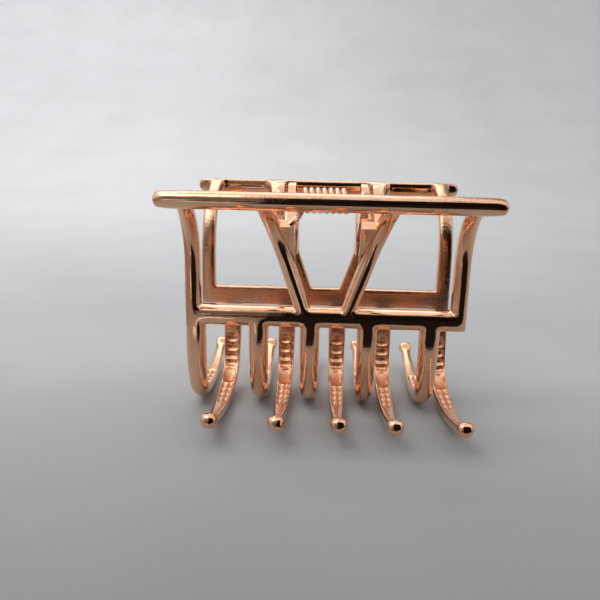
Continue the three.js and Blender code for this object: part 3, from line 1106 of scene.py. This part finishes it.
# %% Finish each piece and seat the jaws and the pin on their bodies
for piece, finish, slot_name in ((jaw, casting_finish, "plated_casting"),
                                 (rear_jaw, casting_finish, "plated_casting"),
                                 (pin, pin_finish, "plated_pin"),
                                 (spring, wire_finish, "spring_wire")):
    piece.data.materials.clear()
    piece.data.materials.append(finish)

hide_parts("front_jaw")
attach(jaw, "front")
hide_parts("rear_jaw")
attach(rear_jaw, "rear")
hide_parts("hinge_pin")
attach(pin, "rear")
print("seated:", jaw.name, rear_jaw.name, pin.name)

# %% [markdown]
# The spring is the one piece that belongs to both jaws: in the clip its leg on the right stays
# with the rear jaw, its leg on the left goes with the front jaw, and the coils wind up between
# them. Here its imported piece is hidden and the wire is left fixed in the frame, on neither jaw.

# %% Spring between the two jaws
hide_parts("torsion_spring")
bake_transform(spring)
print("spring crosses the hinge over, mm:", round(COIL_END - COIL_START, 2))

# %% [markdown]
# The clip stands on pale paper that runs up behind it in one sweep. A floor and a wall would
# meet in a line behind the clip, and a sweep shows no horizon. Painted shade makes the paper
# darker on the right and towards the front, as paper beside a window is, and painted light
# makes it brighter further back on the sweep.

# %% Paper sweep
SWEEP_START = 0.20
SWEEP_RADIUS = 0.60
SWEEP_STEPS = 20
SWEEP_WALL = 0.8
PAPER_SIDE = 2.4

clear_selection()
bpy.ops.mesh.primitive_plane_add(size=PAPER_SIDE,
                                 location=(0, SWEEP_START - PAPER_SIDE / 2, cad_low.z))
table = bpy.context.object
table.name = "paper_sweep"
bpy.ops.object.transform_apply(location=True, rotation=True, scale=True)
edit_mode()
pick_points(lambda p: p.y > SWEEP_START - 0.01)
for step in range(SWEEP_STEPS):
    low_turn = math.pi / 2 * step / SWEEP_STEPS
    high_turn = math.pi / 2 * (step + 1) / SWEEP_STEPS
    push_out((0, SWEEP_RADIUS * (math.sin(high_turn) - math.sin(low_turn)),
              SWEEP_RADIUS * (math.cos(low_turn) - math.cos(high_turn))))
push_out((0, 0, SWEEP_WALL))
object_mode()
bpy.ops.object.shade_smooth()
print("sweep height, m:", round(table.dimensions.z, 2))


# %% Paint of the paper
def plain_paint(name, colour, roughness=0.5, **sockets):
    """A material of one colour. Other sockets are named with _ for each space."""
    paint = Nodes(name)
    paint.shader.inputs["Base Color"].default_value = (*colour, 1)
    paint.shader.inputs["Roughness"].default_value = roughness
    for socket, value in sockets.items():
        paint.shader.inputs[socket.replace("_", " ")].default_value = value
    return paint


paper = plain_paint("pale_paper", (0.46, 0.46, 0.46), 0.9, Specular_IOR_Level=0.0)
paper_axes = paper.add("ShaderNodeSeparateXYZ")
paper.link(paper.place, paper_axes.inputs["Vector"])
# painted shade: the paper gets darker on the right and towards the front
across = paper.span(paper_axes.outputs["X"], -0.12, 0.12, 1.06, 0.90)
towards = paper.span(paper_axes.outputs["Y"], -0.085, 0.015, 0.42, 1.0)
# painted light: the paper gets brighter further back on the sweep
painted_back_light = paper.span(paper_axes.outputs["Y"], 0.05, 0.6, 1.0, 1.7)
speck = paper.span(paper.noise(40.0, 2.0), 0.3, 0.7, 0.46, 0.49)
share = paper.calculate("MULTIPLY", paper.calculate("MULTIPLY", across, towards),
                        paper.calculate("MULTIPLY", painted_back_light, speck))
paper_colour_with_painted_light = paper.mix(share, (0.0, 0.0, 0.0), (0.985, 1.0, 1.015))
paper.link(paper_colour_with_painted_light, paper.shader.inputs["Base Color"])
table.data.materials.append(paper.material)
print("paper nodes:", len(paper.tree.nodes))

# %% [markdown]
# Polished metal shows its surroundings. Dark cards in front of the clip stand for the dark
# side of a room and draw the black lines along the upright faces. Narrow bright cards beside
# them draw the glint at the edge of a line, and dim wood gives the brown between. They could
# be a picture of a room, but cards are easy to move until each line lies where it should.
# Only reflections see them, so they throw no shadow and hide nothing.

# %% Reflected cards
dark = plain_paint("dark_card", (0.012, 0.010, 0.010), 0.9, Specular_IOR_Level=0.0)
bright = plain_paint("bright_card", (0, 0, 0), Emission_Color=(1.0, 0.98, 0.96, 1),
                     Emission_Strength=1.1)
wood = plain_paint("dim_wood", (0.27, 0.19, 0.145), 0.8)


def reflected_card(name, paint, size, location, rotation=(0, 0, 0)):
    """A card that only reflections can see."""
    clear_selection()
    bpy.ops.mesh.primitive_plane_add(size=1, location=location, rotation=rotation)
    card = bpy.context.object
    card.name = name
    card.scale = (*size, 1)
    bpy.ops.object.transform_apply(location=True, rotation=True, scale=True)
    card.data.materials.append(paint.material)
    card.visible_camera = False
    card.visible_diffuse = False
    card.visible_shadow = False
    card.visible_transmission = False
    print(name, "centre, m:", location)


reflected_card("near_card", dark, (0.252, 0.044), (0.112, -0.054, 0.0008))
reflected_card("far_card", dark, (0.274, 0.064), (0.101, -0.108, 0.0008))
reflected_card("card_upright", dark, (0.26, 0.20), (0.113, -0.140, 0.100),
               (math.pi / 2, 0, 0))
reflected_card("wood_left", wood, (0.27, 0.41), (-0.199, -0.145, 0.0006))
reflected_card("wood_front", wood, (0.046, 0.275), (-0.041, -0.2125, 0.0006))
reflected_card("long_glint", bright, (0.024, 0.050), (-0.048, -0.107, 0.0009))
reflected_card("short_glint", bright, (0.010, 0.007), (-0.024, -0.047, 0.0009))

# %% [markdown]
# The light is soft and comes from above. The world is brighter overhead than at the sides and
# dim behind the camera, and it gives most of the light, as a white room does. Three area
# lights add what it can't: the sheen on the upper faces, the glow on the paper behind, and a
# little light from the window side.

# %% Room
world = bpy.data.worlds.new("pale_room")
bpy.context.scene.world = world
world.use_nodes = True
background = world.node_tree.nodes["Background"]
sky = world.node_tree.nodes
sky_place = sky.new("ShaderNodeTexCoord")
sky_axes = sky.new("ShaderNodeSeparateXYZ")
sky_height = sky.new("ShaderNodeValToRGB")
sky_depth = sky.new("ShaderNodeMapRange")
sky_mix = sky.new("ShaderNodeMix")
sky_mix.data_type = "RGBA"
sky_height.color_ramp.elements[0].position = 0.0
sky_height.color_ramp.elements[0].color = (0.48, 0.495, 0.515, 1)
sky_height.color_ramp.elements[1].position = 0.9
sky_height.color_ramp.elements[1].color = (1.10, 1.10, 1.11, 1)
sky_depth.inputs["From Min"].default_value = -0.92
sky_depth.inputs["From Max"].default_value = -0.35
sky_mix.inputs[6].default_value = (0.15, 0.14, 0.135, 1)
for source, target in ((sky_place.outputs["Generated"], sky_axes.inputs["Vector"]),
                       (sky_axes.outputs["Z"], sky_height.inputs["Fac"]),
                       (sky_axes.outputs["Y"], sky_depth.inputs["Value"]),
                       (sky_depth.outputs["Result"], sky_mix.inputs["Factor"]),
                       (sky_height.outputs["Color"], sky_mix.inputs[7]),
                       (sky_mix.outputs[2], background.inputs["Color"])):
    world.node_tree.links.new(source, target)
print("room nodes:", len(sky))


# %% Lights
def soft_light(name, place, aim, size, power, colour):
    clear_selection()
    bpy.ops.object.light_add(type="AREA", location=place)
    light = bpy.context.object
    light.name = name
    light.data.shape = "RECTANGLE"
    light.data.size, light.data.size_y = size
    light.data.energy = power
    light.data.color = colour
    light.rotation_euler = (Vector(aim) - Vector(place)).to_track_quat("-Z", "Y").to_euler()
    print(name, "power, W:", power)


soft_light("overhead", (-0.04, 0.24, 0.30), (0, 0.03, 0.01), size=(0.26, 0.20), power=0.30,
           colour=(1.0, 0.99, 0.97))
soft_light("backdrop", (-0.28, 0.15, 0.45), (-0.14, 0.68, 0.08), size=(0.25, 0.25), power=0.95,
           colour=(0.98, 0.99, 1.0))
soft_light("window", (-0.11, -0.12, 0.24), (-0.01, 0, 0.02), size=(0.13, 0.10), power=0.10,
           colour=(0.97, 0.99, 1.0))
bpy.context.scene.view_settings.view_transform = "Standard"
